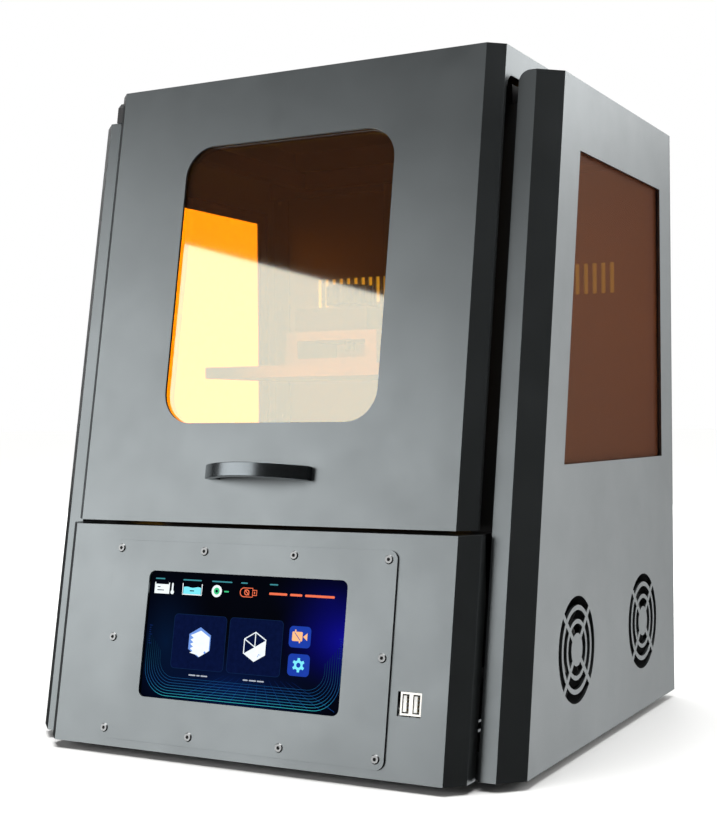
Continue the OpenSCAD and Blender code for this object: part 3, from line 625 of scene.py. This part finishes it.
def fading_ink(name, stops):
    """Lit ink whose colour changes with height on the screen (mm)."""
    s = Shader(name, (0.0005, 0.001, 0.002), 0.5)
    s.set("Specular IOR Level", 0.0)
    tex = s.node("ShaderNodeTexCoord")
    split = s.node("ShaderNodeSeparateXYZ")
    s.link(tex.outputs["Object"], split.inputs["Vector"])
    height = s.node("ShaderNodeMapRange")
    height.inputs["From Min"].default_value = -46 * MM
    height.inputs["From Max"].default_value = 4 * MM
    s.link(split.outputs["Z"], height.inputs["Value"])
    s.drive("Emission Color", s.ramp(height.outputs["Result"], stops))
    s.set("Emission Strength", 1.0)
    return s.mat


contours = Plates(-0.08)
for i in range(8):
    e, r, low = 1.75 * i, 20 - 1.0 * i, -44.2 + 1.9 * i
    path = [(-81.8 + e, v) for v in (2 - 2 * i, -8 - i)] + [(-81.8 + e, low + r)]
    path += arc(-81.8 + e + r, low + r, r, 180, 270) + arc(79.0 - e - r, low + r, r, 270, 360)
    path += [(79.0 - e, low + r)] + [(79.0 - e, v) for v in (-8 - i, 2 - 2 * i)]
    contours.line([p for k, p in enumerate(path) if k == 0 or p != path[k - 1]], 0.3 - 0.015 * i)
on_screen("ui_contours", contours, fading_ink("ui_contours", [
    (0.0, (0.05, 0.62, 0.62)), (0.10, (0.02, 0.26, 0.42)), (0.24, (0.01, 0.10, 0.30)),
    (0.5, (0.006, 0.06, 0.12)), (0.95, (0.001, 0.002, 0.006))]))
grid = Plates(-0.07)
for i in range(-6, 7):
    grid.line([(14 + 4.6 * i, -26.5), (14 + 10.4 * i, -43.6)], 0.22)
on_screen("ui_floor_grid", grid, fading_ink("ui_floor_grid", [
    (0.0, (0.008, 0.08, 0.34)), (0.4, (0.002, 0.006, 0.05))]))

# ---------------------------------------------------------------- sockets, and painted shade in the screw recesses
USB = slope_matrix(USB_AT[0], -PANEL_PROUD, USB_AT[1])
PORTS_X = (-3.2, 4.6)


def box_verts(a, b):
    """Corners and faces of a box between two corners in mm."""
    verts = [(x * MM, y * MM, z * MM) for x in (a[0], b[0]) for y in (a[1], b[1]) for z in (a[2], b[2])]
    faces = [(0, 1, 3, 2), (4, 6, 7, 5), (0, 4, 5, 1), (2, 3, 7, 6), (0, 2, 6, 4), (1, 5, 7, 3)]
    return verts, faces


def boxes(name, corners, body, slot, mat=None, matrix=None, edge=0.2):
    """Several boxes with rounded edges as one piece."""
    verts, faces = [], []
    for a, b in corners:
        v, f = box_verts(a, b)
        faces += [tuple(i + len(verts) for i in face) for face in f]
        verts += v
    return rounded_edges(piece(name, verts, faces, body, slot, mat, True, matrix), edge)


PLATE_FACE = slope_matrix(0, PLATE_N, 0)
SCREW_X = (-110.7, -37.2, 37.2, 110.7)
SCREW_Z = (12.9, 77.2, 141.3)
SOCKET_SHIFT, SOCKET_R = 1.5, 1.28
# near-black hexagons laid into the hex recesses of the bezel screws: painted shade in the hollows
sockets = Plates(-0.42, 0.05)
for x in SCREW_X:
    for z in SCREW_Z:
        if z != SCREW_Z[1] or x in (SCREW_X[0], SCREW_X[-1]):
            sockets.disc(x - SOCKET_SHIFT, z * STRETCH, SOCKET_R, 6)
sockets.make("bezel_screw_socket_shade", "cabinet", "black_plastic", MATS["gasket_foam"], PLATE_FACE)
tongue = moulded("usb_tongue", (0.85, 0.85, 0.82), 0.4)
gold = brushed("contact_gold", (0.8, 0.58, 0.2), 0.3, (1, 60, 1), 60)
tongue_boxes = [((x - 2.0, 1.4, -5.4), (x + 0.5, 12.9, 5.4)) for x in PORTS_X]
contact_boxes = [((x + 0.5, 2.0, z - 0.55), (x + 0.75, 12.0, z + 0.55))
                 for x in PORTS_X for z in (-3.9, -1.3, 1.3, 3.9)]
pin_boxes = [((x - 1, 346.2, z - 2), (x + 1, 359.5, z + 2))
             for x, z in ((136.5, 48.5), (147.5, 48.5), (142, 54))]
boxes("usb_tongues", tongue_boxes, "cabinet", "port_steel", tongue, USB)
boxes("usb_contacts", contact_boxes, "cabinet", "port_steel", gold, USB, 0.05)
boxes("inlet_pins", pin_boxes, "cabinet", "rail_steel", None, Matrix.Translation(place(0, 0, 0)), 0.5)

# ---------------------------------------------------------------- stage
def stage_plane(name, verts, mat):
    """One flat face that belongs to the studio."""
    mesh = bpy.data.meshes.new(name)
    mesh.from_pydata(verts, [], [tuple(range(len(verts)))])
    ob = bpy.data.objects.new(name, mesh)
    bpy.context.collection.objects.link(ob)
    mesh.materials.append(mat)
    return ob


FLOOR_HALF = 30
floor_shader = Shader("floor", (0.86, 0.86, 0.85), 0.7)
floor_shader.bump(floor_shader.noise(40, 2), 0.02, 0.001)
floor_corners = [(FLOOR_HALF * a, FLOOR_HALF * b, 0) for a, b in ((-1, -1), (1, -1), (1, 1), (-1, 1))]
floor = stage_plane("floor", floor_corners, floor_shader.mat)
floor.visible_glossy = False


def area(name, azimuth, distance, height, size, power, aim_height=None):
    """A soft lamp at an azimuth in degrees from the front toward the right, turned to the machine's axis."""
    data = bpy.data.lights.new(name, "AREA")
    data.shape = "RECTANGLE"
    data.size, data.size_y = size
    data.energy = power
    ob = bpy.data.objects.new(name, data)
    bpy.context.collection.objects.link(ob)
    a = math.radians(azimuth)
    at = Vector((distance * math.sin(a), -distance * math.cos(a), height))
    toward = at - Vector((0, 0, height if aim_height is None else aim_height))
    ob.matrix_world = Matrix.Translation(at) @ toward.to_track_quat("Z", "Y").to_matrix().to_4x4()
    ob.visible_camera = False
    return ob


area("key", -43, 3.2, 0.74, (3.5, 1.9), 72)
area("side", 132, 2.8, 0.6, (3.0, 3.2), 60)
area("side_high", 135, 2.6, 1.6, (3.0, 1.2), 27, 0.3)
area("rear", -150, 2.8, 0.9, (2.4, 1.6), 30)
sky = bpy.data.lights.new("overhead", "SUN")
sky.energy = 4.0
sky.angle = math.radians(45)
sky_ob = bpy.data.objects.new("overhead", sky)
bpy.context.collection.objects.link(sky_ob)
sky_ob.rotation_euler = (math.radians(4), math.radians(-3), 0)

# white where the camera sees it, and brighter still behind two (one sheet) to four faces (two sheets)
FILL_STRENGTH = 0.012
BEHIND_FACES = (2.0, 4.0)
BEHIND_STRENGTH = (0.8, 19.0)
world = bpy.data.worlds.new("studio")
bpy.context.scene.world = world
world.use_nodes = True
wt = world.node_tree
fill = wt.nodes["Background"]
fill.inputs["Color"].default_value = (1, 1, 1, 1)
fill.inputs["Strength"].default_value = FILL_STRENGTH
seen = wt.nodes.new("ShaderNodeBackground")
seen.inputs["Color"].default_value = (1, 1, 1, 1)
path = wt.nodes.new("ShaderNodeLightPath")
lift = wt.nodes.new("ShaderNodeMapRange")
lift.inputs["From Min"].default_value, lift.inputs["From Max"].default_value = BEHIND_FACES
lift.inputs["To Min"].default_value, lift.inputs["To Max"].default_value = BEHIND_STRENGTH
behind = wt.nodes.new("ShaderNodeMath")
behind.operation = "GREATER_THAN"
behind.inputs[1].default_value = 0.5
level = wt.nodes.new("ShaderNodeMix")
level.inputs["A"].default_value = 1.0
wt.links.new(path.outputs["Transparent Depth"], lift.inputs["Value"])
wt.links.new(path.outputs["Transparent Depth"], behind.inputs[0])
wt.links.new(behind.outputs["Value"], level.inputs["Factor"])
wt.links.new(lift.outputs["Result"], level.inputs["B"])
wt.links.new(level.outputs["Result"], seen.inputs["Strength"])
choose = wt.nodes.new("ShaderNodeMixShader")
wt.links.new(path.outputs["Is Camera Ray"], choose.inputs["Fac"])
wt.links.new(fill.outputs["Background"], choose.inputs[1])
wt.links.new(seen.outputs["Background"], choose.inputs[2])
wt.links.new(choose.outputs["Shader"], wt.nodes["World Output"].inputs["Surface"])
bpy.context.scene.view_settings.view_transform = "Standard"
